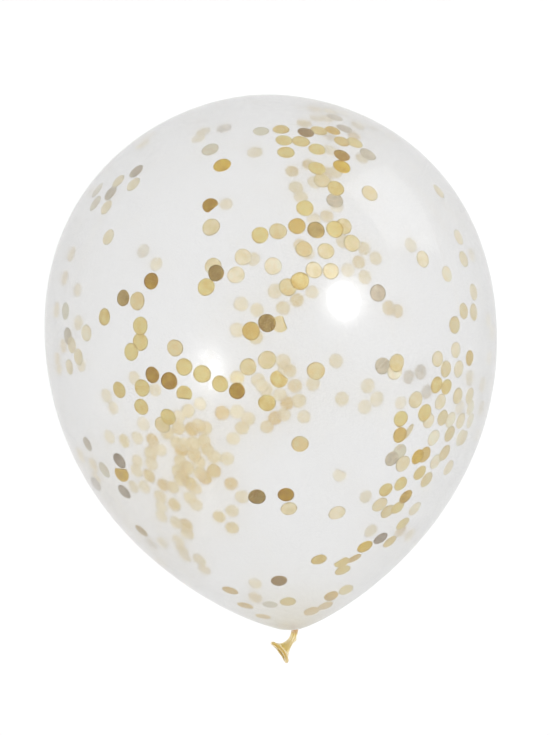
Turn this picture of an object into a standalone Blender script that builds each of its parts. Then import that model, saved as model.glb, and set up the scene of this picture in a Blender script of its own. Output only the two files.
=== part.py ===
"""A sealed party balloon of clear latex, lying on its side.

It is one closed piece: the inflated bulb, the overhand knot at its neck, and the tail that flares to a rolled lip.
The bulb's axis lies in the YZ plane with the crown towards +Y, and the neck dips to where the balloon comes to rest.
The origin is the middle of the small flat spot underneath. Lengths are in metres, and +Z is up.
"""

import math

import bmesh
import bpy
from mathutils import Vector

# Bulb: its widest ring, and how far the crown and the knot lie from that ring along the axis.
BULB_WIDTH = 0.300
CROWN_REACH = 0.1592
NECK_REACH = 0.2039

# Fullness of the bulb's outline, as shares of the reach and of the half width.
CROWN_SHOULDER = 0.713
CROWN_FLATNESS = 0.414
NECK_SHOULDER = 0.676
NECK_BLUNTNESS = 0.099

# Rest: how far the axis tilts, and how wide the flat spot is across the axis.
LIE_TILT = math.radians(9.0)
FLAT_SPOT_WIDTH = 0.040

# Knot: its width, the thickness of its strands, how far it stands beyond the bulb and beside the axis,
# and how its two turns cross.
KNOT_WIDTH = 0.0052
STRAND_THICKNESS = 0.0021
KNOT_STANDOFF = 0.0004
KNOT_SIDESTEP = 0.0014
KNOT_CROSSING = math.radians(38.0)

# Tail: where the middle of its mouth lies, seen from the knot, which way the mouth faces,
# and how far the spine runs straight at each end.
TAIL_REACH = 0.0140
TAIL_SWING = 0.0104
TAIL_DROOP = 0.0010
MOUTH_TURN = math.radians(58.0)
MOUTH_RISE = math.radians(20.0)
KNOT_LEAD = 0.0066
MOUTH_LEAD = 0.0050

# Tail: the stem at the knot, the lip's outer width and height, the power by which the stem flares to it,
# how far the lip's long sides bow back towards the knot, and the power by which that bow fades along the stem.
STEM_WIDTH = 0.0040
STEM_HEIGHT = 0.0036
MOUTH_WIDTH = 0.0184
MOUTH_HEIGHT = 0.0105
LIP_THICKNESS = 0.0026
LIP_BOW = 0.0016
TAIL_WALL = 0.0009
FLARE_POWER = 4.2
BOW_POWER = 3.0
MOUTH_POCKET_START = 0.55

# Faceting.
BULB_SIDES = 64
CROWN_STEPS = 18
NECK_STEPS = 22
TAIL_SIDES = 20
TAIL_STEPS = 12
LIP_STEPS = 6
STRAND_SIDES = 8
KNOT_SIDES = 16
RESTING_SEARCH_STEPS = 2000
POLE_MERGE_DISTANCE = 0.00001


def clear_scene():
    for old in list(bpy.data.objects):
        bpy.data.objects.remove(old, do_unlink=True)


def new_collection(name):
    collection = bpy.data.collections.new(name)
    bpy.context.scene.collection.children.link(collection)
    return collection


def bezier(start, start_handle, end_handle, end, t):
    """A point on a cubic curve, for points given as Vectors."""
    u = 1.0 - t
    return u**3 * start + 3 * u**2 * t * start_handle + 3 * u * t**2 * end_handle + t**3 * end


def crown_outline(t):
    """The bulb's outline from the crown (t = 0) to the widest ring (t = 1), as (radius, along the axis)."""
    radius = BULB_WIDTH / 2
    return bezier(
        Vector((0.0, CROWN_REACH)),
        Vector((CROWN_FLATNESS * radius, CROWN_REACH)),
        Vector((radius, CROWN_SHOULDER * CROWN_REACH)),
        Vector((radius, 0.0)),
        t,
    )


def neck_outline(t):
    """The bulb's outline from the widest ring (t = 0) to the neck (t = 1), as (radius, along the axis)."""
    radius = BULB_WIDTH / 2
    return bezier(
        Vector((radius, 0.0)),
        Vector((radius, -NECK_SHOULDER * NECK_REACH)),
        Vector((NECK_BLUNTNESS * radius, -NECK_REACH)),
        Vector((0.0, -NECK_REACH)),
        t,
    )


def lowest_outline_point():
    """The point of the neck's side of the outline that is lowest once the axis is tilted."""
    points = [neck_outline(i / RESTING_SEARCH_STEPS) for i in range(RESTING_SEARCH_STEPS + 1)]
    return min(points, key=lambda p: p.y * math.sin(LIE_TILT) - p.x * math.cos(LIE_TILT))


def add_lying_frame():
    """An empty whose Z axis is the bulb's axis, placed so that the flat spot's middle is the world's origin."""
    touch = lowest_outline_point()
    flat_depth = touch.x - math.sqrt(touch.x**2 - (FLAT_SPOT_WIDTH / 2) ** 2)
    touch_y = touch.y * math.cos(LIE_TILT) + touch.x * math.sin(LIE_TILT)
    touch_z = touch.y * math.sin(LIE_TILT) - touch.x * math.cos(LIE_TILT)
    frame = bpy.data.objects.new("lying_frame", None)
    bpy.context.scene.collection.objects.link(frame)
    frame.rotation_euler.x = LIE_TILT - math.pi / 2
    frame.location = (0.0, -touch_y, -touch_z - flat_depth * math.cos(LIE_TILT))
    return frame


def add_mesh_object(name, mesh, collection, frame):
    piece = bpy.data.objects.new(name, mesh)
    collection.objects.link(piece)
    piece.parent = frame
    return piece


def make_material(name, colour, roughness, transmission):
    material = bpy.data.materials.new(name)
    material.use_nodes = True
    shader = material.node_tree.nodes["Principled BSDF"]
    shader.inputs["Base Color"].default_value = (*colour, 1.0)
    shader.inputs["Roughness"].default_value = roughness
    shader.inputs["Metallic"].default_value = 0.0
    shader.inputs["Transmission Weight"].default_value = transmission
    return material


def build_bulb(collection, frame):
    """The bulb: its outline, top to bottom, turned about the axis."""
    outline = [crown_outline(i / CROWN_STEPS) for i in range(CROWN_STEPS)]
    outline += [neck_outline(i / NECK_STEPS) for i in range(NECK_STEPS + 1)]
    mesh = bpy.data.meshes.new("balloon")
    vertices = [(p.x, 0.0, p.y) for p in outline]
    edges = [(i, i + 1) for i in range(len(vertices) - 1)]
    mesh.from_pydata(vertices, edges, [])
    mesh.materials.append(make_material("clear_latex", (0.86, 0.86, 0.85), 0.15, 0.9))
    bulb = add_mesh_object("balloon", mesh, collection, frame)
    turn = bulb.modifiers.new("turn", "SCREW")
    turn.axis = "Z"
    turn.steps = BULB_SIDES
    turn.render_steps = BULB_SIDES
    turn.use_merge_vertices = True
    turn.merge_threshold = POLE_MERGE_DISTANCE
    turn.use_smooth_shade = True
    return bulb


def knot_centre():
    return Vector((KNOT_SIDESTEP, 0.0, -NECK_REACH - KNOT_STANDOFF))


def build_knot_turn(crossing, material, collection, frame):
    """One turn of the knot, a ring about the neck tilted by the crossing angle."""
    bpy.ops.mesh.primitive_torus_add(
        major_segments=KNOT_SIDES,
        minor_segments=STRAND_SIDES,
        major_radius=(KNOT_WIDTH - STRAND_THICKNESS) / 2,
        minor_radius=STRAND_THICKNESS / 2,
        location=knot_centre(),
        rotation=(0.0, crossing, 0.0),
    )
    turn = bpy.context.object
    turn.name = "knot_turn"
    turn.data.materials.append(material)
    turn.data.shade_smooth()
    for owner in list(turn.users_collection):
        owner.objects.unlink(turn)
    collection.objects.link(turn)
    turn.parent = frame
    return turn


def tail_spine(t):
    """A point on the tail's spine and its direction there. Along -Z it leaves the bulb, and -Y is up."""
    start = knot_centre()
    end = start + Vector((-TAIL_SWING, TAIL_DROOP, -TAIL_REACH))
    mouth_way = Vector(
        (
            -math.sin(MOUTH_TURN) * math.cos(MOUTH_RISE),
            -math.sin(MOUTH_RISE),
            -math.cos(MOUTH_TURN) * math.cos(MOUTH_RISE),
        )
    )
    start_handle = start + Vector((0.0, 0.0, -KNOT_LEAD))
    end_handle = end - mouth_way * MOUTH_LEAD
    u = 1.0 - t
    way = u**2 * (start_handle - start) + 2 * u * t * (end_handle - start_handle) + t**2 * (end - end_handle)
    return bezier(start, start_handle, end_handle, end, t), way.normalized()


def tail_ring(t, inset, lip_turn=None):
    """One ring of the tail: on its wall at t, or around the rolled lip at the angle lip_turn."""
    centre, way = tail_spine(t)
    side = way.cross(Vector((0.0, -1.0, 0.0))).normalized()
    up = side.cross(way)
    lip_radius = LIP_THICKNESS / 2
    ring_width = MOUTH_WIDTH / 2 - lip_radius
    ring_height = MOUTH_HEIGHT / 2 - lip_radius
    if lip_turn is None:
        flare = t**FLARE_POWER
        half_width = STEM_WIDTH / 2 + (ring_width + TAIL_WALL / 2 - STEM_WIDTH / 2) * flare - inset
        half_height = STEM_HEIGHT / 2 + (ring_height + TAIL_WALL / 2 - STEM_HEIGHT / 2) * flare - inset
    else:
        half_width = ring_width + lip_radius * math.sin(lip_turn)
        half_height = ring_height + lip_radius * math.sin(lip_turn)
        wall_meets_lip = math.sqrt(lip_radius**2 - (TAIL_WALL / 2) ** 2)
        centre = centre + way * (wall_meets_lip - lip_radius * math.cos(lip_turn))
    points = []
    for i in range(TAIL_SIDES):
        angle = math.tau * i / TAIL_SIDES
        bow = way * LIP_BOW * math.sin(angle) ** 2 * t**BOW_POWER
        points.append(centre - bow + side * half_width * math.cos(angle) + up * half_height * math.sin(angle))
    return points


def build_tail(material, collection, frame):
    """The tail: from its root in the bulb down its outside, round the rolled lip, and up inside to the pocket's end."""
    rings = [tail_ring(i / TAIL_STEPS, 0.0) for i in range(TAIL_STEPS + 1)]
    root = Vector((0.0, 0.0, KNOT_STANDOFF + KNOT_WIDTH / 2))
    rings.insert(0, [point + root for point in rings[0]])
    first_turn = math.asin(TAIL_WALL / LIP_THICKNESS)
    for i in range(1, LIP_STEPS):
        rings.append(tail_ring(1.0, 0.0, first_turn + (math.tau - 2 * first_turn) * i / LIP_STEPS))
    inner_steps = round(TAIL_STEPS * (1.0 - MOUTH_POCKET_START))
    for i in range(inner_steps + 1):
        t = 1.0 - (1.0 - MOUTH_POCKET_START) * i / inner_steps
        rings.append(tail_ring(t, TAIL_WALL))
    bm = bmesh.new()
    loops = [[bm.verts.new(p) for p in ring] for ring in rings]
    for ring, following in zip(loops, loops[1:]):
        for i in range(TAIL_SIDES):
            j = (i + 1) % TAIL_SIDES
            bm.faces.new((ring[i], ring[j], following[j], following[i]))
    bm.faces.new(loops[0])
    bm.faces.new(loops[-1])
    bmesh.ops.recalc_face_normals(bm, faces=bm.faces)
    mesh = bpy.data.meshes.new("tail")
    bm.to_mesh(mesh)
    bm.free()
    mesh.materials.append(material)
    mesh.shade_smooth()
    return add_mesh_object("tail", mesh, collection, frame)


def build_floor_cutter(collection):
    """A block whose top is the floor, which trims the bulb to its flat spot."""
    block_side = BULB_WIDTH
    bpy.ops.mesh.primitive_cube_add(size=block_side, location=(0.0, 0.0, -block_side / 2))
    block = bpy.context.object
    block.name = "floor_cutter"
    for owner in list(block.users_collection):
        owner.objects.unlink(block)
    collection.objects.link(block)
    return block


def combine(piece, operation, operand):
    """Join or cut the piece with the operand, which is kept as a wire guide."""
    step = piece.modifiers.new(operand.name, "BOOLEAN")
    step.operation = operation
    step.solver = "EXACT"
    step.material_mode = "TRANSFER"
    step.object = operand
    operand.hide_render = True
    operand.display_type = "WIRE"


def main():
    clear_scene()
    parts = new_collection("confetti_balloon")
    guides = new_collection("joined_and_cutting_shapes")
    frame = add_lying_frame()
    bulb = build_bulb(parts, frame)
    gathered = make_material("gathered_latex", (0.80, 0.62, 0.28), 0.35, 0.3)
    for crossing in (KNOT_CROSSING, -KNOT_CROSSING):
        combine(bulb, "UNION", build_knot_turn(crossing, gathered, guides, frame))
    combine(bulb, "UNION", build_tail(gathered, guides, frame))
    combine(bulb, "DIFFERENCE", build_floor_cutter(guides))


main()
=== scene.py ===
"""The looks of a confetti balloon: its clear film, its knot and tail, and the foil discs sealed inside.

The balloon lies on its side, the crown towards +Y, and the camera looks straight down on it.
Lengths are in metres.
"""

import math

import bpy
import numpy as np
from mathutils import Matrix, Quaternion, Vector


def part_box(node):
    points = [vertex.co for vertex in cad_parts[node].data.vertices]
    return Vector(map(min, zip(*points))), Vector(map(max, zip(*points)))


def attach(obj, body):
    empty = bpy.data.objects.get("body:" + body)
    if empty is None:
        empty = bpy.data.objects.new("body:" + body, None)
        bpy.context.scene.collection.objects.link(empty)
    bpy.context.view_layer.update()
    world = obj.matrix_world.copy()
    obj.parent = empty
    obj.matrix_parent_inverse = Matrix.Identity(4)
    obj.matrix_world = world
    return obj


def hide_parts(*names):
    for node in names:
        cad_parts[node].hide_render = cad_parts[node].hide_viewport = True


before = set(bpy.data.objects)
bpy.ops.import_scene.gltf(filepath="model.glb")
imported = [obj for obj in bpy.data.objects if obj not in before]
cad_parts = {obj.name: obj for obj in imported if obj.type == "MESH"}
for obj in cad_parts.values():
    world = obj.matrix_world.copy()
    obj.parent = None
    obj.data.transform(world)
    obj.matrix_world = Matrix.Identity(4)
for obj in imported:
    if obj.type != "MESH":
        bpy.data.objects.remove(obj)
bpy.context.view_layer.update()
FILM_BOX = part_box("balloon")

# The bulb's sizes, as in the CAD model. The local frame has its origin at the widest ring, Z towards
# the crown, X across and -Y upwards.
BULB_RADIUS = (FILM_BOX[1].x - FILM_BOX[0].x) / 2
CROWN_REACH = 0.1592
NECK_REACH = 0.2039
CROWN_SHOULDER = 0.713
CROWN_FLATNESS = 0.414
NECK_SHOULDER = 0.676
NECK_BLUNTNESS = 0.099
LIE_TILT = math.radians(9.0)
FLAT_SPOT_WIDTH = 0.040
FINE_STEPS = 2000

# The film: its thickness, how finely it is meshed, and how softly it flattens against the floor.
FILM_THICKNESS = 0.00006
FILM_INSET = 0.00006
FILM_SIDES = 192
CROWN_STEPS = 54
NECK_STEPS = 66
FLOOR_SOFTNESS = 0.0005

# Where the film is thick: towards the neck, and at a small nub on the crown.
NECK_THICK_REACH = 0.034
NUB_WEIGHT = 0.4
NUB_REACH = 0.009

# The film's tint where it is thin to where it is thick, and what is left of a lamp's light behind it.
FILM_TINTS = (
    (0.0, (0.884, 0.884, 0.884)),
    (0.2, (0.878, 0.876, 0.868)),
    (0.5, (0.78, 0.745, 0.645)),
    (1.0, (0.68, 0.60, 0.38)),
)
FILM_LAMP_TINT = (0.97, 0.97, 0.965)

# How the film blurs what lies behind it: the roughness of its clear part and of its milky grain, the
# grain's fineness, and the steps of its noise between which clear turns milky.
LATEX_IOR = 1.45
FILM_ROUGHNESS = 0.05
GRAIN_ROUGHNESS = 0.30
GRAIN_SCALE = 6000.0
GRAIN_STEPS = (0.57, 0.60)

# The knot's and tail's tint, from one layer of latex to many.
GATHERED_TINTS = (
    (0.0, (0.88, 0.77, 0.56)),
    (0.5, (0.73, 0.56, 0.14)),
    (1.0, (0.54, 0.29, 0.06)),
)
GATHERED_CLEARNESS = 0.4

# The foil: its colour swings between a warmer and a greener gold from each stop of its ramp to the next,
# and its tone is mottled by smudges, whose noise is taken between these levels.
FOIL_STOPS = 6
WARM_SWING = (1.035, 0.975, 0.95)
COOL_SWING = (0.975, 1.015, 1.01)
FOIL_IOR = 1.3
SMUDGE_SCALE = 320.0
SMUDGE_LEVELS = (0.3, 0.7)

FLOOR_TINTS = ((0.0, (0.90, 0.90, 0.90)), (1.0, (0.93, 0.93, 0.93)))

# Pleats where the film gathers into the knot: their depth, how far they reach, where they start, how
# many there are, and how far each set is turned from the last.
PLEAT_DEPTH = 0.00055
PLEAT_REACH = 0.0085
PLEAT_START = 0.003
PLEAT_COUNTS = (11, 17, 26)
PLEAT_SHIFT = 1.7

# How far the knot draws the film in about it, and how wide that hollow is.
HOLLOW_DEPTH = 0.0013
HOLLOW_REACH = 0.0075

# The photograph's frame in pixels, and the camera: its distance above the bulb's widest ring, its focal
# length in pixels, where it stands beside that ring, and how the photograph is turned.
PHOTO_WIDTH = 550
PHOTO_HEIGHT = 735
CAMERA_DISTANCE = 1.4
FOCAL_PIXELS = 2100
CAMERA_ASIDE = 0.0027
CAMERA_BEHIND = 0.0217
CAMERA_TURN = math.radians(-4.19)
SENSOR_WIDTH = 36.0


def bezier(start, start_handle, end_handle, end, t):
    u = 1.0 - t
    return u**3 * start + 3 * u**2 * t * start_handle + 3 * u * t**2 * end_handle + t**3 * end


def column(values):
    return np.asarray(values, float)[:, None]


def outline(crown_steps, neck_steps):
    """The bulb's outline from crown to neck, as rows of (radius, along the axis)."""
    crown = bezier(
        np.array([0.0, CROWN_REACH]),
        np.array([CROWN_FLATNESS * BULB_RADIUS, CROWN_REACH]),
        np.array([BULB_RADIUS, CROWN_SHOULDER * CROWN_REACH]),
        np.array([BULB_RADIUS, 0.0]),
        column(np.linspace(0.0, 1.0, crown_steps, endpoint=False)),
    )
    neck = bezier(
        np.array([BULB_RADIUS, 0.0]),
        np.array([BULB_RADIUS, -NECK_SHOULDER * NECK_REACH]),
        np.array([NECK_BLUNTNESS * BULB_RADIUS, -NECK_REACH]),
        np.array([0.0, -NECK_REACH]),
        column(np.linspace(0.0, 1.0, neck_steps + 1)),
    )
    return np.vstack([crown, neck])


def lying_frame():
    """The rotation and origin that carry the local frame to the world.

    The middle of the flat spot lies at the world's origin.
    """
    fine = outline(FINE_STEPS, FINE_STEPS)
    heights = fine[:, 1] * math.sin(LIE_TILT) - fine[:, 0] * math.cos(LIE_TILT)
    radius, along = fine[heights.argmin()]
    flat_depth = radius - math.sqrt(radius**2 - (FLAT_SPOT_WIDTH / 2) ** 2)
    origin = np.array(
        [
            0.0,
            -along * math.cos(LIE_TILT) - radius * math.sin(LIE_TILT),
            -along * math.sin(LIE_TILT) + (radius - flat_depth) * math.cos(LIE_TILT),
        ]
    )
    sine, cosine = math.sin(LIE_TILT), math.cos(LIE_TILT)
    rotation = np.array([[1.0, 0.0, 0.0], [0.0, sine, cosine], [0.0, -cosine, sine]])
    return rotation, origin


ROTATION, ORIGIN = lying_frame()


def to_world(points):
    return np.asarray(points, float) @ ROTATION.T + ORIGIN


def to_local(points):
    return (np.asarray(points, float) - ORIGIN) @ ROTATION


def add_mesh(name, vertices, faces, material, body="root"):
    """A smooth mesh piece in world places, riding on a CAD body."""
    mesh = bpy.data.meshes.new(name)
    mesh.from_pydata([tuple(v) for v in vertices], [], faces)
    mesh.materials.append(material)
    mesh.shade_smooth()
    piece = bpy.data.objects.new(name, mesh)
    bpy.context.scene.collection.objects.link(piece)
    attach(piece, body)
    return piece


# Materials


def new_material(name):
    material = bpy.data.materials.new(name)
    material.use_nodes = True
    return material, material.node_tree, material.node_tree.nodes["Principled BSDF"]


def add_noise(tree, scale, detail, roughness=0.5):
    """Noise fixed to the piece, so that it doesn't slide when the piece moves."""
    place = tree.nodes.new("ShaderNodeTexCoord")
    noise = tree.nodes.new("ShaderNodeTexNoise")
    noise.inputs["Scale"].default_value = scale
    noise.inputs["Detail"].default_value = detail
    noise.inputs["Roughness"].default_value = roughness
    tree.links.new(place.outputs["Object"], noise.inputs["Vector"])
    return noise.outputs["Fac"]


def add_attribute(tree, name):
    node = tree.nodes.new("ShaderNodeAttribute")
    node.attribute_name = name
    return node.outputs["Fac"]


def add_ramp(tree, source, stops):
    ramp = tree.nodes.new("ShaderNodeValToRGB")
    elements = ramp.color_ramp.elements
    while len(elements) < len(stops):
        elements.new(0.5)
    for element, (position, colour) in zip(elements, stops):
        element.position = position
        element.color = (*colour, 1.0)
    tree.links.new(source, ramp.inputs["Fac"])
    return ramp.outputs["Color"]


def add_range(tree, source, low, high):
    """A value that runs from low to high as the source runs from 0 to 1."""
    node = tree.nodes.new("ShaderNodeMapRange")
    node.inputs["To Min"].default_value = low
    node.inputs["To Max"].default_value = high
    tree.links.new(source, node.inputs["Value"])
    return node.outputs["Result"]


def add_bump(tree, shader, height, strength, distance):
    bump = tree.nodes.new("ShaderNodeBump")
    bump.inputs["Strength"].default_value = strength
    bump.inputs["Distance"].default_value = distance
    tree.links.new(height, bump.inputs["Height"])
    tree.links.new(bump.outputs["Normal"], shader.inputs["Normal"])


def let_light_through(material, colour):
    """Lamps shine through the film: rays towards a lamp meet a plain tint in its place."""
    tree = material.node_tree
    path = tree.nodes.new("ShaderNodeLightPath")
    tint = tree.nodes.new("ShaderNodeBsdfTransparent")
    tint.inputs["Color"].default_value = (*colour, 1.0)
    mix = tree.nodes.new("ShaderNodeMixShader")
    tree.links.new(path.outputs["Is Shadow Ray"], mix.inputs["Fac"])
    tree.links.new(tree.nodes["Principled BSDF"].outputs["BSDF"], mix.inputs[1])
    tree.links.new(tint.outputs["BSDF"], mix.inputs[2])
    tree.links.new(mix.outputs["Shader"], tree.nodes["Material Output"].inputs["Surface"])


def film_material():
    """Stretched clear latex, yellower where it is thick. A fine milky grain veils what lies behind it."""
    material, tree, shader = new_material("clear_latex")
    thick = add_attribute(tree, "thickness")
    tree.links.new(add_ramp(tree, thick, FILM_TINTS), shader.inputs["Base Color"])
    shader.inputs["Transmission Weight"].default_value = 1.0
    shader.inputs["IOR"].default_value = LATEX_IOR
    grain = add_noise(tree, GRAIN_SCALE, 0.0)
    gloss = (FILM_ROUGHNESS,) * 3
    milk = (GRAIN_ROUGHNESS,) * 3
    stops = list(zip(GRAIN_STEPS, (gloss, milk)))
    tree.links.new(add_ramp(tree, grain, stops), shader.inputs["Roughness"])
    let_light_through(material, FILM_LAMP_TINT)
    return material


def gathered_material():
    """Unstretched latex of the knot and tail: amber where it is gathered, pale in a single layer, and
    darker inside the mouth, where shade is painted in.
    """
    material, tree, shader = new_material("gathered_latex")
    thick = add_attribute(tree, "thickness")
    tree.links.new(add_ramp(tree, thick, GATHERED_TINTS), shader.inputs["Base Color"])
    shader.inputs["Transmission Weight"].default_value = GATHERED_CLEARNESS
    shader.inputs["IOR"].default_value = LATEX_IOR
    grain = add_noise(tree, 900.0, 4.0)
    tree.links.new(add_range(tree, grain, 0.28, 0.46), shader.inputs["Roughness"])
    add_bump(tree, shader, grain, 0.25, 0.0002)
    return material


def foil_stops(dark, light):
    """Colours from dark to light that swing between a warmer and a greener gold on the way."""
    stops = []
    for step in range(FOIL_STOPS):
        share = step / (FOIL_STOPS - 1)
        swing = WARM_SWING if step % 2 == 0 else COOL_SWING
        colour = tuple((d + (l - d) * share) * s for d, l, s in zip(dark, light, swing))
        stops.append((share, colour))
    return stops


def foil_material(name, dark, light, transmission, metallic, mottle):
    """Thin mottled foil: each disc has its own tone, and the paler it is, the more light comes through."""
    material, tree, shader = new_material(name)
    tone = add_attribute(tree, "tone")
    smudge = add_noise(tree, SMUDGE_SCALE, 3.0)
    mix = tree.nodes.new("ShaderNodeMapRange")
    mix.inputs["From Min"].default_value = SMUDGE_LEVELS[0]
    mix.inputs["From Max"].default_value = SMUDGE_LEVELS[1]
    mix.inputs["To Min"].default_value = -mottle
    mix.inputs["To Max"].default_value = mottle
    tree.links.new(smudge, mix.inputs["Value"])
    add = tree.nodes.new("ShaderNodeMath")
    tree.links.new(tone, add.inputs[0])
    tree.links.new(mix.outputs["Result"], add.inputs[1])
    colour = add_ramp(tree, add.outputs["Value"], foil_stops(dark, light))
    tree.links.new(colour, shader.inputs["Base Color"])
    shader.inputs["Metallic"].default_value = metallic
    shader.inputs["Transmission Weight"].default_value = transmission
    shader.inputs["IOR"].default_value = FOIL_IOR
    tree.links.new(add_range(tree, smudge, 0.26, 0.44), shader.inputs["Roughness"])
    add_bump(tree, shader, add_noise(tree, 1400.0, 2.0), 0.2, 0.0001)
    return material


def floor_material():
    """A plain matt white floor with the faintest grain."""
    material, tree, shader = new_material("white_floor")
    grain = add_noise(tree, 40.0, 3.0)
    tree.links.new(add_ramp(tree, grain, FLOOR_TINTS), shader.inputs["Base Color"])
    shader.inputs["Roughness"].default_value = 0.9
    shader.inputs["Specular IOR Level"].default_value = 0.1
    return material


# The film


def outward(profile):
    """The outline's outward directions, as (radius, along the axis)."""
    slope = np.gradient(profile, axis=0)
    normal = np.stack([-slope[:, 1], slope[:, 0]], axis=1)
    normal[0] = (0.0, 1.0)
    normal[-1] = (0.0, -1.0)
    return normal / np.linalg.norm(normal, axis=1, keepdims=True)


def pleats(angle, distance):
    """How far the gathered film folds in and out, at an angle about the axis and so far from the knot."""
    wave = sum(np.sin(count * angle + PLEAT_SHIFT * i) for i, count in enumerate(PLEAT_COUNTS))
    start = np.minimum(1.0, distance / PLEAT_START)
    return PLEAT_DEPTH * wave / len(PLEAT_COUNTS) * np.exp(-distance / PLEAT_REACH) * start


def film_wall(depth):
    """One wall of the film as world points, ring by ring from the crown, and its thickness weights."""
    profile = outline(CROWN_STEPS, NECK_STEPS)
    normal = outward(profile)
    steps = np.linalg.norm(np.diff(profile, axis=0), axis=1)
    from_neck = np.append(np.cumsum(steps[::-1])[::-1], 0.0)
    from_crown = from_neck[0] - from_neck
    angle = np.arange(FILM_SIDES) * math.tau / FILM_SIDES
    fold = pleats(angle[None, :], from_neck[:, None])
    fold = fold - HOLLOW_DEPTH * np.exp(-((from_neck[:, None] / HOLLOW_REACH) ** 2))
    radius = profile[:, :1] + normal[:, :1] * (fold - depth)
    along = profile[:, 1:] + normal[:, 1:] * (fold - depth)
    local = np.stack([radius * np.cos(angle), radius * np.sin(angle), along + 0 * angle], axis=2)
    nub = NUB_WEIGHT * np.exp(-((from_crown / NUB_REACH) ** 2))
    thick = np.clip(np.exp(-from_neck / NECK_THICK_REACH) + nub, 0.0, 1.0)
    rings = local[1:-1].reshape(-1, 3)
    crown_pole = [0.0, 0.0, CROWN_REACH - depth]
    neck_pole = [0.0, 0.0, -NECK_REACH + HOLLOW_DEPTH + depth]
    points = np.vstack([crown_pole, rings, neck_pole])
    weights = np.concatenate([[thick[0]], np.repeat(thick[1:-1], FILM_SIDES), [thick[-1]]])
    return to_world(points), weights


def rest_on_floor(points, lift):
    """Flattens softly what would reach below the floor."""
    above = points[:, 2] - lift
    points[:, 2] = lift + (above + np.sqrt(above**2 + FLOOR_SOFTNESS**2)) / 2
    return points


def wall_faces(ring_count, first, inward):
    """Faces of a wall of rings between two poles, whose vertices start at first."""
    faces = []
    last = first + 1 + ring_count * FILM_SIDES
    for i in range(FILM_SIDES):
        j = (i + 1) % FILM_SIDES
        faces.append((first, first + 1 + i, first + 1 + j))
        for k in range(ring_count - 1):
            a = first + 1 + k * FILM_SIDES
            b = a + FILM_SIDES
            faces.append((a + i, b + i, b + j, a + j))
        a = last - FILM_SIDES
        faces.append((a + i, last, a + j))
    return [f[::-1] for f in faces] if inward else faces


def set_attribute(piece, name, values):
    attribute = piece.data.attributes.new(name, "FLOAT", "POINT")
    attribute.data.foreach_set("value", np.asarray(values, np.float32))


def build_film():
    """The bulb's film: an outer wall, and an inner wall that faces inwards."""
    outer, outer_thick = film_wall(FILM_INSET)
    inner, inner_thick = film_wall(FILM_INSET + FILM_THICKNESS)
    rest_on_floor(outer, 0.0)
    rest_on_floor(inner, FILM_THICKNESS)
    rings = CROWN_STEPS + NECK_STEPS - 1
    faces = wall_faces(rings, 0, False) + wall_faces(rings, len(outer), True)
    film = add_mesh("latex_film", np.vstack([outer, inner]), faces, film_material())
    set_attribute(film, "thickness", np.concatenate([outer_thick, inner_thick]))
    film.visible_diffuse = False
    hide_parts("balloon")
    return film


# The knot and tail, close to the CAD model's sizes. The wall is thinner, and the knot sits deeper in
# the neck.

KNOT_WIDTH = 0.0052
STRAND_THICKNESS = 0.0021
KNOT_STANDOFF = -0.0008
KNOT_SIDESTEP = 0.0014
TAIL_REACH = 0.0152
TAIL_SWING = 0.0104
TAIL_DROOP = 0.0010
MOUTH_TURN = math.radians(58.0)
MOUTH_RISE = math.radians(20.0)
KNOT_LEAD = 0.0066
MOUTH_LEAD = 0.0050
STEM_WIDTH = 0.0040
STEM_HEIGHT = 0.0036
MOUTH_WIDTH = 0.0184
MOUTH_HEIGHT = 0.0105
LIP_THICKNESS = 0.0026
LIP_BOW = 0.0016
TAIL_WALL = 0.0006
FLARE_POWER = 4.2
BOW_POWER = 3.0
MOUTH_POCKET_START = 0.5
TAIL_TUCK = 0.003

# The stem's lengthwise folds, as (depth, number, twist along the tail, turn), and how fast they fade.
# Then the corner where the film doubles over: its place along the tail, its size, its length and its
# spread about the tail.
STEM_FOLDS = ((0.12, 5, 3.0, 0.0), (0.07, 9, -4.0, 1.0))
STEM_FOLDS_FADE = 1.3
FOLD_PLACE = 0.36
FOLD_SIZE = 0.50
FOLD_LENGTH = 0.08
FOLD_SPREAD = 0.55

# The lip's unevenness, as (depth, number, turn).
LIP_WAVES = ((0.06, 3, 0.0), (0.04, 7, 1.0))

# How thick the latex looks along the tail: gathered beside the knot, thin along the stem, thicker again
# on the flare and its lip. Inside the mouth it is darker still, which is painted shade, not thicker latex.
STEM_THICK = 0.95
STEM_THICK_REACH = 0.2
STEM_THIN = 0.05
FLARE_THICK = 0.55
LIP_THICK = 0.66
POCKET_SHADE = 0.78

# The knot's strand: its swing along the neck, as a share of its figure, and its unevenness where it is
# pulled tight, as (depth, number about it, number along it).
KNOT_SWING = 1.5
STRAND_WAVE = (0.10, 4, 6)

TAIL_SIDES = 96
TAIL_STEPS = 64
LIP_STEPS = 20
KNOT_STEPS = 160
STRAND_SIDES = 20


def knot_centre():
    return np.array([KNOT_SIDESTEP, 0.0, -NECK_REACH - KNOT_STANDOFF])


def unit(vector):
    return vector / np.linalg.norm(vector)


def tail_spine(t):
    """A point on the tail's spine, and its direction there."""
    start = knot_centre()
    end = start + np.array([-TAIL_SWING, TAIL_DROOP, -TAIL_REACH])
    mouth_way = np.array(
        [
            -math.sin(MOUTH_TURN) * math.cos(MOUTH_RISE),
            -math.sin(MOUTH_RISE),
            -math.cos(MOUTH_TURN) * math.cos(MOUTH_RISE),
        ]
    )
    start_handle = start + np.array([0.0, 0.0, -KNOT_LEAD])
    end_handle = end - mouth_way * MOUTH_LEAD
    u = 1.0 - t
    way = u**2 * (start_handle - start) + 2 * u * t * (end_handle - start_handle)
    way = way + t**2 * (end - end_handle)
    return bezier(start, start_handle, end_handle, end, t), unit(way)


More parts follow.
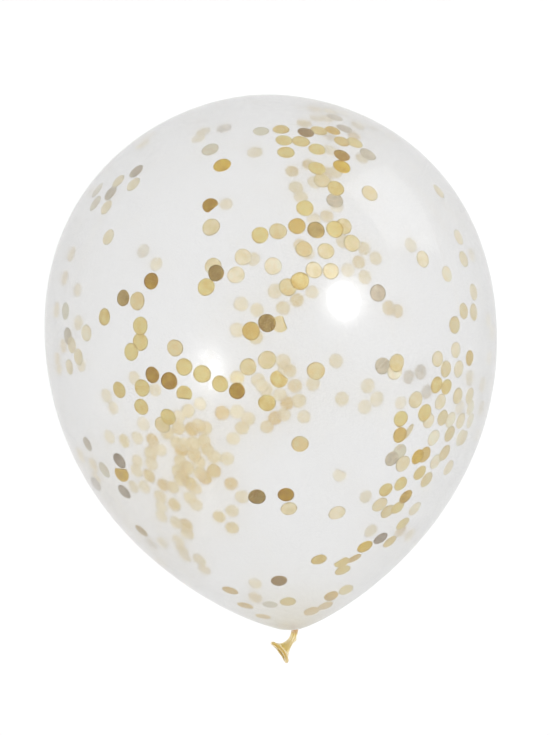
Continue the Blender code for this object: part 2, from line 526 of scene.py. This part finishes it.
def tail_folds(angle, t):
    """Lengthwise folds of the gathered stem, as a share of its width, and its doubled-over corner."""
    fade = (1.0 - t) ** STEM_FOLDS_FADE
    folds = 0.0
    for depth, count, twist, turn in STEM_FOLDS:
        folds = folds + depth * np.sin(count * angle + twist * t + turn)
    along = np.exp(-(((t - FOLD_PLACE) / FOLD_LENGTH) ** 2))
    about = np.exp(-((np.abs(angle - math.pi) / FOLD_SPREAD) ** 2))
    return 1.0 + fade * folds + FOLD_SIZE * along * about


def tail_ring(t, inset, lip_turn=None):
    """One ring of the tail: on its wall at t, or around the rolled lip at the angle lip_turn."""
    centre, way = tail_spine(t)
    side = unit(np.cross(way, np.array([0.0, -1.0, 0.0])))
    up = np.cross(side, way)
    angle = np.arange(TAIL_SIDES) * math.tau / TAIL_SIDES
    waves = sum(depth * np.sin(count * angle + turn) for depth, count, turn in LIP_WAVES)
    lip_radius = LIP_THICKNESS / 2 * (1.0 + waves)
    ring_width = (MOUTH_WIDTH - LIP_THICKNESS) / 2
    ring_height = (MOUTH_HEIGHT - LIP_THICKNESS) / 2
    bow = way * (LIP_BOW * np.sin(angle) ** 2 * t**BOW_POWER)[:, None]
    if lip_turn is None:
        flare = t**FLARE_POWER
        shape = tail_folds(angle, t)
        widening = ring_width + TAIL_WALL / 2 - STEM_WIDTH / 2
        rising = ring_height + TAIL_WALL / 2 - STEM_HEIGHT / 2
        half_width = (STEM_WIDTH / 2 + widening * flare) * shape - inset
        half_height = (STEM_HEIGHT / 2 + rising * flare) * shape - inset
        centre = centre + 0 * angle[:, None]
    else:
        half_width = ring_width + lip_radius * math.sin(lip_turn)
        half_height = ring_height + lip_radius * math.sin(lip_turn)
        wall_meets_lip = np.sqrt(lip_radius**2 - (TAIL_WALL / 2) ** 2)
        centre = centre + way * (wall_meets_lip - lip_radius * math.cos(lip_turn))[:, None]
    across = side * (half_width * np.cos(angle))[:, None]
    return centre - bow + across + up * (half_height * np.sin(angle))[:, None]


def tube_faces(ring_count, sides, first, closed):
    """Faces of a tube of rings, joined end to start if closed."""
    faces = []
    for k in range(ring_count if closed else ring_count - 1):
        a = first + k * sides
        b = first + (k + 1) % ring_count * sides
        faces += [(a + i, a + (i + 1) % sides, b + (i + 1) % sides, b + i) for i in range(sides)]
    return faces


def tail_parts():
    """The tail's points, faces and thickness weights: its outer wall, rolled lip and inner wall, the last
    darker as painted shade.
    """
    steps = np.linspace(0.0, 1.0, TAIL_STEPS + 1)
    first_turn = math.asin(TAIL_WALL / LIP_THICKNESS)
    turns = np.linspace(first_turn, math.tau - first_turn, LIP_STEPS + 1)[1:-1]
    inner = np.linspace(1.0, MOUTH_POCKET_START, TAIL_STEPS // 2)
    rings = [tail_ring(0.0, 0.0) + np.array([0.0, 0.0, TAIL_TUCK])]
    rings += [tail_ring(t, 0.0) for t in steps]
    rings += [tail_ring(1.0, 0.0, turn) for turn in turns]
    rings += [tail_ring(t, TAIL_WALL) for t in inner]
    gathered = [STEM_THICK * math.exp(-((t / STEM_THICK_REACH) ** 2)) for t in steps]
    thick = [1.0] + [g + STEM_THIN + FLARE_THICK * t for g, t in zip(gathered, steps)]
    thick += [LIP_THICK for _ in turns]
    # The mouth's inner wall gets a darker weight than the same sheet outside: painted shade inside the
    # mouth.
    thick += [POCKET_SHADE for _ in inner]
    faces = tube_faces(len(rings), TAIL_SIDES, 0, False)
    faces.append(tuple(range(TAIL_SIDES))[::-1])
    last = (len(rings) - 1) * TAIL_SIDES
    faces.append(tuple(range(last, last + TAIL_SIDES)))
    return np.vstack(rings), faces, np.repeat(thick, TAIL_SIDES)


def knot_parts(first):
    """The knot's points, faces and weights: one strand that runs as a trefoil about the neck."""
    t = np.arange(KNOT_STEPS) * math.tau / KNOT_STEPS
    size = (KNOT_WIDTH - STRAND_THICKNESS) / 2 / 3.0
    across = np.sin(t) + 2 * np.sin(2 * t)
    over = np.cos(t) - 2 * np.cos(2 * t)
    line = np.stack([across, over, -KNOT_SWING * np.sin(3 * t)], axis=1) * size
    way = np.roll(line, -1, axis=0) - np.roll(line, 1, axis=0)
    way /= np.linalg.norm(way, axis=1, keepdims=True)
    side = np.cross(way, np.array([0.0, 0.0, 1.0]))
    side /= np.linalg.norm(side, axis=1, keepdims=True)
    up = np.cross(side, way)
    angle = np.arange(STRAND_SIDES) * math.tau / STRAND_SIDES
    depth, about, along = STRAND_WAVE
    radius = STRAND_THICKNESS / 2 * (1.0 + depth * np.sin(about * angle[None, :] + along * t[:, None]))
    ring = side[:, None, :] * (radius * np.cos(angle))[:, :, None]
    ring = ring + up[:, None, :] * (radius * np.sin(angle))[:, :, None]
    points = (knot_centre() + line[:, None, :] + ring).reshape(-1, 3)
    return points, tube_faces(KNOT_STEPS, STRAND_SIDES, first, True), np.full(len(points), 1.0)


def build_knot_and_tail():
    tail_points, faces, tail_thick_and_shade = tail_parts()
    knot_points, knot_faces, knot_thick = knot_parts(len(tail_points))
    points = to_world(np.vstack([tail_points, knot_points]))
    piece = add_mesh("knot_and_tail", points, faces + knot_faces, gathered_material())
    # These weights also carry the painted shade inside the tail's mouth.
    set_attribute(piece, "thickness", np.concatenate([tail_thick_and_shade, knot_thick]))
    piece.visible_glossy = False
    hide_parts("balloon")
    return piece


# The confetti

# A disc's radius and how much that varies, the foil's thickness, and its gaps to the film and to the disc
# that it lies on. Discs lie on one another where their centres are nearer than TOUCHING radii.
DISC_RADIUS = 0.0053
DISC_SPREAD = 0.06
FOIL_THICKNESS = 0.00004
FOIL_GAP = 0.00016
LAYER_GAP = 0.00016
TOUCHING = 2.2

# How unevenly a disc is cut, with two waves and with three about its edge, and how it curls.
HAND_CUT = (0.022, 0.014)
LARGEST_CURL = 0.35
CURL_SHARE = 0.05

# A folded disc: where its crease lies, as a share of its radius, the angles that it folds through, and the
# gap between its leaves.
CREASE = 0.65
CREASE_ANGLES = (2.7, 2.95)
CREASE_GAP = 0.00012

# How finely plain and folded discs are meshed, and how finely their places on the wall are sought.
DISC_SIDES = 32
DISC_RINGS = (0.5, 0.8, 1.0)
FOLD_ROWS = 8
FOLD_COLUMNS = 13
FOLD_END_ANGLE = 0.18
WALL_SAMPLES = 600
RAY_SAMPLES = 900
CONFETTI_SEED = 11

# Where each disc shows, in the photograph's pixels: discs on the near wall by tone, then
# discs on the far wall by tone.
NEAR_BRONZE = (
    (123, 298), (216, 273), (267, 323), (257, 497), (279, 582), (306, 132),
)
NEAR_UMBER = (
    (316, 230), (141, 531),
)
NEAR_AMBER = (
    (286, 495), (169, 381), (237, 391), (152, 375), (210, 205), (342, 155), (151, 281),
)
NEAR_OCHRE = (
    (222, 165), (342, 166), (365, 547), (418, 457), (406, 497), (333, 130), (332, 598), (263, 617),
    (245, 606), (120, 475),
)
NEAR_DEEP = (
    (297, 226), (355, 560), (230, 591), (326, 607), (312, 613), (400, 435), (251, 331), (425, 455),
)
NEAR_GOLD = (
    (119, 390), (319, 560), (342, 563), (470, 358), (319, 130), (342, 141), (281, 129), (336, 188),
    (300, 281), (288, 603),
)
NEAR_STRAW = (
    (202, 374), (184, 367), (184, 394), (220, 384), (260, 235), (142, 388), (141, 407), (437, 385),
    (398, 508), (386, 490), (390, 542), (343, 571), (284, 140), (401, 419), (140, 326), (104, 317),
    (403, 524), (420, 473), (425, 413), (447, 387), (347, 592), (131, 352), (335, 229), (206, 287),
    (317, 149), (168, 417), (140, 342), (286, 152), (317, 168), (267, 403), (355, 142), (279, 379),
    (305, 208), (301, 141), (401, 484),
)
NEAR_CHAMPAGNE = (
    (175, 348), (248, 367), (213, 266), (288, 287), (300, 444), (289, 509), (464, 311), (474, 312),
    (370, 193), (267, 360), (211, 227), (326, 251), (314, 270), (304, 249), (403, 464), (380, 505),
    (388, 512), (458, 396), (427, 480), (445, 453), (443, 418), (450, 434), (331, 271), (344, 226),
    (397, 363), (446, 369), (162, 425), (137, 301), (322, 180), (352, 243), (316, 371), (278, 231),
    (416, 400), (455, 325), (412, 433), (280, 324),
)
NEAR_PALE = (
    (243, 257), (456, 350), (434, 438), (86, 333), (133, 184), (118, 181), (106, 207), (108, 237),
    (78, 357), (71, 345), (69, 367), (337, 513), (447, 274), (459, 369), (273, 266), (415, 509),
    (429, 421), (438, 359), (236, 275), (441, 402), (470, 396), (461, 421), (451, 420), (464, 438),
    (423, 259), (459, 237), (464, 259), (474, 292), (436, 462), (449, 468), (471, 408), (471, 421),
    (461, 438), (395, 371), (439, 191),
)
NEAR_SLATE = (
    (119, 461), (124, 492), (381, 539), (94, 485),
)
NEAR_SILVER = (
    (392, 459), (67, 336), (87, 444), (335, 200), (383, 366), (368, 154), (335, 117), (136, 171),
    (110, 193), (345, 128), (378, 293),
)
NEAR_PEWTER = (
    (97, 190), (95, 203), (261, 131), (210, 149), (65, 311), (400, 452), (104, 470), (270, 605),
)
FAR_GOLD = (
    (297, 300), (275, 418), (287, 403), (231, 484), (214, 471), (205, 478), (163, 485), (192, 429),
    (181, 450), (149, 476), (309, 164), (354, 135), (186, 525), (190, 484), (183, 476), (152, 440),
    (304, 123), (222, 413), (401, 531), (174, 505),
)
FAR_STRAW = (
    (56, 310), (292, 171), (256, 337), (160, 563), (219, 517), (232, 528), (142, 144), (93, 465),
    (80, 455), (96, 478), (57, 360), (58, 368), (330, 111), (493, 333), (124, 441), (237, 378),
)
FAR_SILVER = (
    (143, 251), (224, 128), (427, 392), (372, 127), (151, 544), (107, 168), (91, 191), (330, 136),
    (392, 136), (409, 377), (421, 372),
)
FAR_CHAMPAGNE = (
    (78, 323), (64, 278), (71, 254), (255, 152), (296, 187), (301, 197), (328, 172), (335, 172),
    (315, 182), (327, 181), (315, 108), (317, 118), (327, 118), (362, 158), (327, 216), (343, 241),
    (376, 258), (253, 259), (300, 245), (308, 253), (275, 291), (257, 310), (283, 308), (237, 330),
    (258, 380), (285, 368), (313, 384), (336, 361), (342, 399), (295, 386), (299, 401), (267, 427),
    (248, 419), (242, 428), (205, 428), (198, 426), (204, 441), (214, 457), (227, 459), (199, 462),
    (194, 455), (200, 474), (242, 497), (134, 378), (155, 390), (113, 408), (154, 446), (167, 433),
    (150, 454), (151, 464), (178, 428), (176, 443), (180, 461), (178, 472), (190, 498), (196, 505),
    (176, 523), (187, 534), (182, 550), (199, 560), (204, 570), (232, 511), (255, 598), (366, 497),
    (371, 531), (410, 535), (368, 386), (470, 378), (148, 135), (398, 311), (389, 308), (188, 411),
    (63, 346), (482, 408), (478, 435), (358, 125), (364, 248), (180, 480), (187, 468), (172, 488),
    (195, 489), (193, 444), (207, 450), (359, 262), (255, 584),
)
FAR_FAINT = (
    (143, 424), (109, 437), (137, 461), (136, 471), (144, 487), (133, 487), (160, 497), (161, 507),
    (161, 517), (162, 543), (178, 541), (185, 557), (200, 404), (178, 417), (343, 112), (330, 150),
    (483, 385), (490, 358), (489, 320), (460, 408), (290, 371), (266, 390), (280, 395), (184, 445),
    (401, 403), (160, 450), (312, 292), (411, 245), (365, 407), (77, 290), (156, 264), (198, 138),
    (365, 277), (472, 255), (241, 304), (283, 361), (284, 415), (237, 412), (106, 396), (137, 438),
    (233, 439), (377, 399), (81, 365), (337, 206), (203, 131), (262, 386), (314, 219), (348, 270),
    (226, 204), (304, 417), (340, 475),
)

# Discs that are folded over, with the side of their crease as an angle in the picture, and discs that lean
# from the wall towards the camera, with how much.
FOLDED = {
    (210, 205): math.radians(-50.0),
    (184, 394): math.radians(-90.0),
    (279, 379): math.radians(50.0),
    (342, 563): math.radians(120.0),
    (120, 475): math.radians(100.0),
    (340, 475): math.radians(-60.0),
    (280, 324): math.radians(20.0),
}
LEANING = {
    (347, 592): 0.3,
    (332, 598): 0.3,
    (326, 607): 0.15,
    (312, 613): 0.2,
    (279, 582): 0.2,
    (412, 433): -0.5,
    (355, 560): -0.2,
    (288, 603): 0.2,
    (120, 475): 0.4,
    (94, 485): 0.25,
}

# For each kind of foil: its darkest and lightest colours, how much of it is clear and how much metal, and
# how strongly it is mottled.
FOILS = {
    "bronze": ((0.34, 0.218, 0.05), (0.66, 0.50, 0.19), 0.15, 0.6, 0.3),
    "ochre": ((0.45, 0.27, 0.025), (0.77, 0.54, 0.07), 0.35, 0.45, 0.5),
    "gold": ((0.71, 0.545, 0.175), (0.84, 0.70, 0.33), 0.75, 0.15, 0.8),
    "champagne": ((0.79, 0.67, 0.36), (0.97, 0.90, 0.71), 0.85, 0.07, 0.35),
    "silver": ((0.37, 0.30, 0.205), (0.76, 0.695, 0.545), 0.55, 0.2, 0.3),
}

# Each list's foil, the wall that it lies on, and how its tones run.
CONFETTI = (
    ("bronze", True, -0.2, 0.5, NEAR_BRONZE),
    ("bronze", True, 0.55, 0.95, NEAR_UMBER),
    ("ochre", True, 0.0, 0.3, NEAR_AMBER),
    ("ochre", True, 0.5, 1.0, NEAR_OCHRE),
    ("gold", True, -0.5, 0.0, NEAR_DEEP),
    ("gold", True, 0.2, 0.8, NEAR_GOLD),
    ("gold", True, 0.7, 1.1, NEAR_STRAW),
    ("champagne", True, 0.0, 0.5, NEAR_CHAMPAGNE),
    ("champagne", True, 0.5, 1.0, NEAR_PALE),
    ("silver", True, 0.0, 0.3, NEAR_SLATE),
    ("silver", True, 0.4, 0.8, NEAR_SILVER),
    ("silver", True, 0.94, 1.2, NEAR_PEWTER),
    ("gold", False, -0.5, 0.4, FAR_GOLD),
    ("gold", False, 0.2, 0.9, FAR_STRAW),
    ("silver", False, 0.52, 1.0, FAR_SILVER),
    ("champagne", False, -0.1, 0.5, FAR_CHAMPAGNE),
    ("champagne", False, 0.3, 0.8, FAR_FAINT),
)


def camera_place():
    """The camera's world position and its image axes, right and up."""
    right = np.array([math.cos(CAMERA_TURN), math.sin(CAMERA_TURN), 0.0])
    up = np.array([-math.sin(CAMERA_TURN), math.cos(CAMERA_TURN), 0.0])
    place = ORIGIN + right * CAMERA_ASIDE - up * CAMERA_BEHIND + np.array([0.0, 0.0, CAMERA_DISTANCE])
    return place, right, up


WALL = outline(WALL_SAMPLES, WALL_SAMPLES)
WALL_OUTWARD = outward(WALL)


def wall_radius(along):
    """The bulb's radius at a place along the axis, and nothing beyond its ends."""
    return np.interp(along, WALL[::-1, 1], WALL[::-1, 0], left=0.0, right=0.0)


def where_seen(pixel, near):
    """The local point of the bulb's near or far wall that shows at a pixel of the photograph."""
    place, right, up = camera_place()
    aside = (pixel[0] - PHOTO_WIDTH / 2) / FOCAL_PIXELS
    above = (PHOTO_HEIGHT / 2 - pixel[1]) / FOCAL_PIXELS
    ray = right * aside + up * above + np.array([0.0, 0.0, -1.0])
    reach = BULB_RADIUS * 1.1
    depths = np.linspace(CAMERA_DISTANCE - reach, CAMERA_DISTANCE + reach, RAY_SAMPLES)
    points = to_local(place + ray * depths[:, None])
    inside = wall_radius(points[:, 2]) - np.hypot(points[:, 0], points[:, 1])
    within = np.flatnonzero(inside > 0)
    if not len(within):
        return points[inside.argmax()]
    return points[within[0] if near else within[-1]]


def wall_height(points):
    """How far local points stand outside the bulb's wall, and the wall's outward directions there."""
    radius = np.hypot(points[:, 0], points[:, 1])
    flat = np.stack([radius, points[:, 2]], axis=1)
    nearest = ((flat[:, None, :] - WALL[None, :, :]) ** 2).sum(axis=2).argmin(axis=1)
    away = WALL_OUTWARD[nearest]
    height = ((flat - WALL[nearest]) * away).sum(axis=1)
    turn = points[:, :2] / np.maximum(radius, 1e-9)[:, None]
    return height, np.hstack([turn * away[:, :1], away[:, 1:]])


def disc_centre(pixel, near):
    """The local point of the wall where a disc shows, and the wall's outward direction there."""
    seen = where_seen(pixel, near)[None, :]
    height, way = wall_height(seen)
    return (seen - way * height[:, None])[0], way[0]


def disc_grid():
    """A flat disc of radius 1 as rings of points about its middle, with its faces and its rim in order."""
    angle = np.arange(DISC_SIDES) * math.tau / DISC_SIDES
    points = [np.zeros((1, 2))]
    points += [np.stack([r * np.cos(angle), r * np.sin(angle)], axis=1) for r in DISC_RINGS]
    faces = [(0, 1 + i, 1 + (i + 1) % DISC_SIDES) for i in range(DISC_SIDES)]
    faces += [
        (a + i, a + DISC_SIDES + i, a + DISC_SIDES + j, a + j)
        for a in range(1, 1 + (len(DISC_RINGS) - 1) * DISC_SIDES, DISC_SIDES)
        for i in range(DISC_SIDES)
        for j in [(i + 1) % DISC_SIDES]
    ]
    rim = [1 + (len(DISC_RINGS) - 1) * DISC_SIDES + i for i in range(DISC_SIDES)]
    return np.vstack(points), faces, rim


def folding_grid():
    """The same disc as rows of points across it, one row on the crease that it folds along."""
    crease = math.acos(-CREASE)
    before = -np.cos(np.linspace(FOLD_END_ANGLE, crease, FOLD_ROWS))
    beyond = -np.cos(np.linspace(crease, math.pi - FOLD_END_ANGLE, FOLD_ROWS))
    rows = np.concatenate([before, beyond[1:]])
    across = np.sin(np.linspace(-math.pi / 2, math.pi / 2, FOLD_COLUMNS))
    half = np.sqrt(1.0 - rows**2)
    points = np.stack([rows[:, None] + 0 * across, half[:, None] * across], axis=2).reshape(-1, 2)
    count = len(rows)
    faces = [
        (a + i, a + FOLD_COLUMNS + i, a + FOLD_COLUMNS + i + 1, a + i + 1)
        for a in range(0, (count - 1) * FOLD_COLUMNS, FOLD_COLUMNS)
        for i in range(FOLD_COLUMNS - 1)
    ]
    rim = [k * FOLD_COLUMNS for k in range(count)]
    rim += [(count - 1) * FOLD_COLUMNS + i for i in range(1, FOLD_COLUMNS)]
    rim += [k * FOLD_COLUMNS + FOLD_COLUMNS - 1 for k in range(count - 2, -1, -1)]
    rim += list(range(FOLD_COLUMNS - 2, 0, -1))
    return points, faces, rim


PLAIN = disc_grid()
FOLDING = folding_grid()


def disc_shape(pixel, rng):
    """One disc's points in its own plane and their lift from it: unevenly cut, and a little curled."""
    radius = DISC_RADIUS * (1.0 + DISC_SPREAD * rng.uniform(-1, 1))
    turn = FOLDED.get(pixel, rng.uniform(0, math.tau))
    first, second = rng.uniform(0, math.tau, 2)
    grid = (FOLDING if pixel in FOLDED else PLAIN)[0]
    angle = np.arctan2(grid[:, 1], grid[:, 0])
    cut = 1.0 + HAND_CUT[0] * np.sin(2 * angle + first) + HAND_CUT[1] * np.sin(3 * angle + second)
    flat = grid * cut[:, None] * radius
    lift = rng.uniform(0.0, LARGEST_CURL) * (flat[:, 0] ** 2) / radius * CURL_SHARE
    if pixel in FOLDED:
        beyond = np.maximum(flat[:, 0] - CREASE * radius, 0.0)
        angle = rng.uniform(*CREASE_ANGLES)
        flat[:, 0] += beyond * (math.cos(angle) - 1.0)
        lift = lift + beyond * math.sin(angle) + np.where(beyond > 0, CREASE_GAP, 0.0)
    spin = np.array([[math.cos(turn), math.sin(turn)], [-math.sin(turn), math.cos(turn)]])
    return flat @ spin, lift


def place_disc(centre, out, layer, pixel, rng):
    """The outer and inner points, in world places, of one stiff disc that rests against the wall."""
    _, right, _ = camera_place()
    facing = unit(out + LEANING.get(pixel, 0.0) * np.array([0.0, 0.0, 1.0]) @ ROTATION)
    across = unit(right @ ROTATION - facing * (facing @ (right @ ROTATION)))
    upwards = np.cross(facing, across)
    flat, lift = disc_shape(pixel, rng)
    spread = centre + across * flat[:, :1] + upwards * flat[:, 1:] - facing * lift[:, None]
    depth = FILM_INSET + FILM_THICKNESS + FOIL_GAP + LAYER_GAP * layer
    for _ in range(3):
        spread -= out * (wall_height(spread)[0].max() + depth)
    outer = rest_on_floor(to_world(spread), depth)
    inner = rest_on_floor(to_world(spread - facing * FOIL_THICKNESS), depth + FOIL_THICKNESS)
    return np.vstack([outer, inner])


def disc_faces(grid, first):
    """The faces of one disc: its outer side, its inner side, and its cut edge."""
    points, faces, rim = grid
    count = len(points)
    made = [tuple(first + v for v in f) for f in faces]
    made += [tuple(first + count + v for v in f[::-1]) for f in faces]
    for a, b in zip(rim, rim[1:] + rim[:1]):
        made.append((first + b, first + a, first + count + a, first + count + b))
    return made


def build_confetti():
    """The discs, in one piece for each kind of foil, stacked in layers where they overlap."""
    rng = np.random.default_rng(CONFETTI_SEED)
    placed = []
    made = {name: ([], [], []) for name in FOILS}
    for foil, near, darkest, lightest, pixels in CONFETTI:
        points, faces, tones = made[foil]
        for pixel in pixels:
            centre, out = disc_centre(pixel, near)
            touching = [
                layer for other, layer in placed if np.linalg.norm(other - centre) < TOUCHING * DISC_RADIUS
            ]
            layer = max(touching, default=-1) + 1
            placed.append((centre, layer))
            faces += disc_faces(FOLDING if pixel in FOLDED else PLAIN, sum(len(p) for p in points))
            points.append(place_disc(centre, out, layer, pixel, rng))
            tones.append(np.full(len(points[-1]), rng.uniform(darkest, lightest)))
    for foil, (points, faces, tones) in made.items():
        material = foil_material("foil_" + foil, *FOILS[foil])
        piece = add_mesh("confetti_" + foil, np.vstack(points), faces, material)
        set_attribute(piece, "tone", np.concatenate(tones))
        piece.visible_shadow = False
        piece.visible_diffuse = False


# The scene

# The floor and the sky. The sky is a little dimmer from below the horizon, between these slopes.
FLOOR_SIZE = 40.0
FLOOR_DROP = 0.0002
SKY_STRENGTH = 1.0
BELOW_STRENGTH = 0.97
SKY_SLOPES = (-0.35, 0.15)

# The key light: where it aims, and from where. It is a stack of discs of light, one behind the other,
# each wider and fainter, so that its mirror image on the film fades at its edge.
KEY_SPOT = Vector((0.045, 0.025, 0.293))
KEY_DIRECTION = Vector((0.600, 0.114, 0.791))
KEY_DISTANCE = 2.0
KEY_WIDTH = 0.56
KEY_HEIGHT = 0.58
KEY_FADE = (0.36, 0.54)
KEY_FADE_STEPS = 9
KEY_GLOW = 6.5
KEY_EDGE_GLOW = 2.6
KEY_FALL = 1.3
KEY_STEP = 0.01

# The broad side light, whose mirror image is the pale panel.
SIDE_DIRECTION = Vector((0.79, 0.61, -0.03))
SIDE_DISTANCE = 1.8
SIDE_ABOVE = 0.12
SIDE_TURN = math.radians(-14.0)
SIDE_WIDTH = 1.07
SIDE_HEIGHT = 1.10
SIDE_POWER = 2.9


def add_camera():
    place, _, _ = camera_place()
    data = bpy.data.cameras.new("camera")
    data.sensor_width = SENSOR_WIDTH
    data.lens = FOCAL_PIXELS * SENSOR_WIDTH / PHOTO_HEIGHT
    camera = bpy.data.objects.new("camera", data)
    camera.location = place
    camera.rotation_euler = (0.0, 0.0, CAMERA_TURN)
    bpy.context.scene.collection.objects.link(camera)
    bpy.context.scene.camera = camera


def add_floor():
    half = FLOOR_SIZE / 2
    mesh = bpy.data.meshes.new("floor")
    corners = [(-half, -half, 0), (half, -half, 0), (half, half, 0), (-half, half, 0)]
    mesh.from_pydata(corners, [], [(0, 1, 2, 3)])
    mesh.materials.append(floor_material())
    floor = bpy.data.objects.new("floor", mesh)
    floor.location.z = -FLOOR_DROP
    floor.visible_glossy = False
    bpy.context.scene.collection.objects.link(floor)


def add_area_light(name, place, target, turn, shape, width, height, power):
    """A soft light that faces the balloon. The camera doesn't see the light itself."""
    data = bpy.data.lights.new(name, "AREA")
    data.shape = shape
    data.size = width
    data.size_y = height
    data.energy = power
    light = bpy.data.objects.new(name, data)
    light.location = place
    facing = (place - target).to_track_quat("Z", "Y")
    light.rotation_euler = (facing @ Quaternion((0, 0, 1), turn)).to_euler()
    light.visible_camera = False
    bpy.context.scene.collection.objects.link(light)


def add_lights():
    world = bpy.data.worlds.new("studio")
    world.use_nodes = True
    tree = world.node_tree
    background = tree.nodes["Background"]
    place = tree.nodes.new("ShaderNodeTexCoord")
    split = tree.nodes.new("ShaderNodeSeparateXYZ")
    strength = tree.nodes.new("ShaderNodeMapRange")
    strength.interpolation_type = "SMOOTHSTEP"
    strength.inputs["From Min"].default_value = SKY_SLOPES[0]
    strength.inputs["From Max"].default_value = SKY_SLOPES[1]
    strength.inputs["To Min"].default_value = BELOW_STRENGTH
    strength.inputs["To Max"].default_value = SKY_STRENGTH
    tree.links.new(place.outputs["Generated"], split.inputs["Vector"])
    tree.links.new(split.outputs["Z"], strength.inputs["Value"])
    tree.links.new(strength.outputs["Result"], background.inputs["Strength"])
    background.inputs["Color"].default_value = (1.0, 1.0, 1.0, 1.0)
    bpy.context.scene.world = world
    key_place = KEY_SPOT + KEY_DIRECTION * KEY_DISTANCE
    for step in range(KEY_FADE_STEPS + 1):
        share = step / KEY_FADE_STEPS
        width = KEY_WIDTH + KEY_FADE[0] * share
        height = KEY_HEIGHT + KEY_FADE[1] * share
        last_share = max(share - 1.0 / KEY_FADE_STEPS, 0.0)
        glow = KEY_EDGE_GLOW * ((1.0 - last_share) ** KEY_FALL - (1.0 - share) ** KEY_FALL)
        if step == 0:
            glow = KEY_GLOW
        power = math.pi * width * height * math.pi / 4 * glow
        place = key_place + KEY_DIRECTION * KEY_STEP * step
        add_area_light(f"key_light_{step}", place, KEY_SPOT, 0.0, "ELLIPSE", width, height, power)
    side_target = Vector(ORIGIN) + Vector((0.0, 0.0, SIDE_ABOVE))
    side_place = side_target + SIDE_DIRECTION * SIDE_DISTANCE
    add_area_light(
        "side_light", side_place, side_target, SIDE_TURN, "RECTANGLE", SIDE_WIDTH, SIDE_HEIGHT, SIDE_POWER
    )


def set_colours():
    scene = bpy.context.scene
    scene.view_settings.view_transform = "Standard"
    scene.cycles.caustics_reflective = False
    scene.cycles.max_bounces = 32
    scene.cycles.glossy_bounces = 16
    scene.cycles.transmission_bounces = 32
    scene.cycles.transparent_max_bounces = 24


add_camera()
add_floor()
add_lights()
set_colours()
build_film()
build_knot_and_tail()
build_confetti()

bpy.context.view_layer.update()
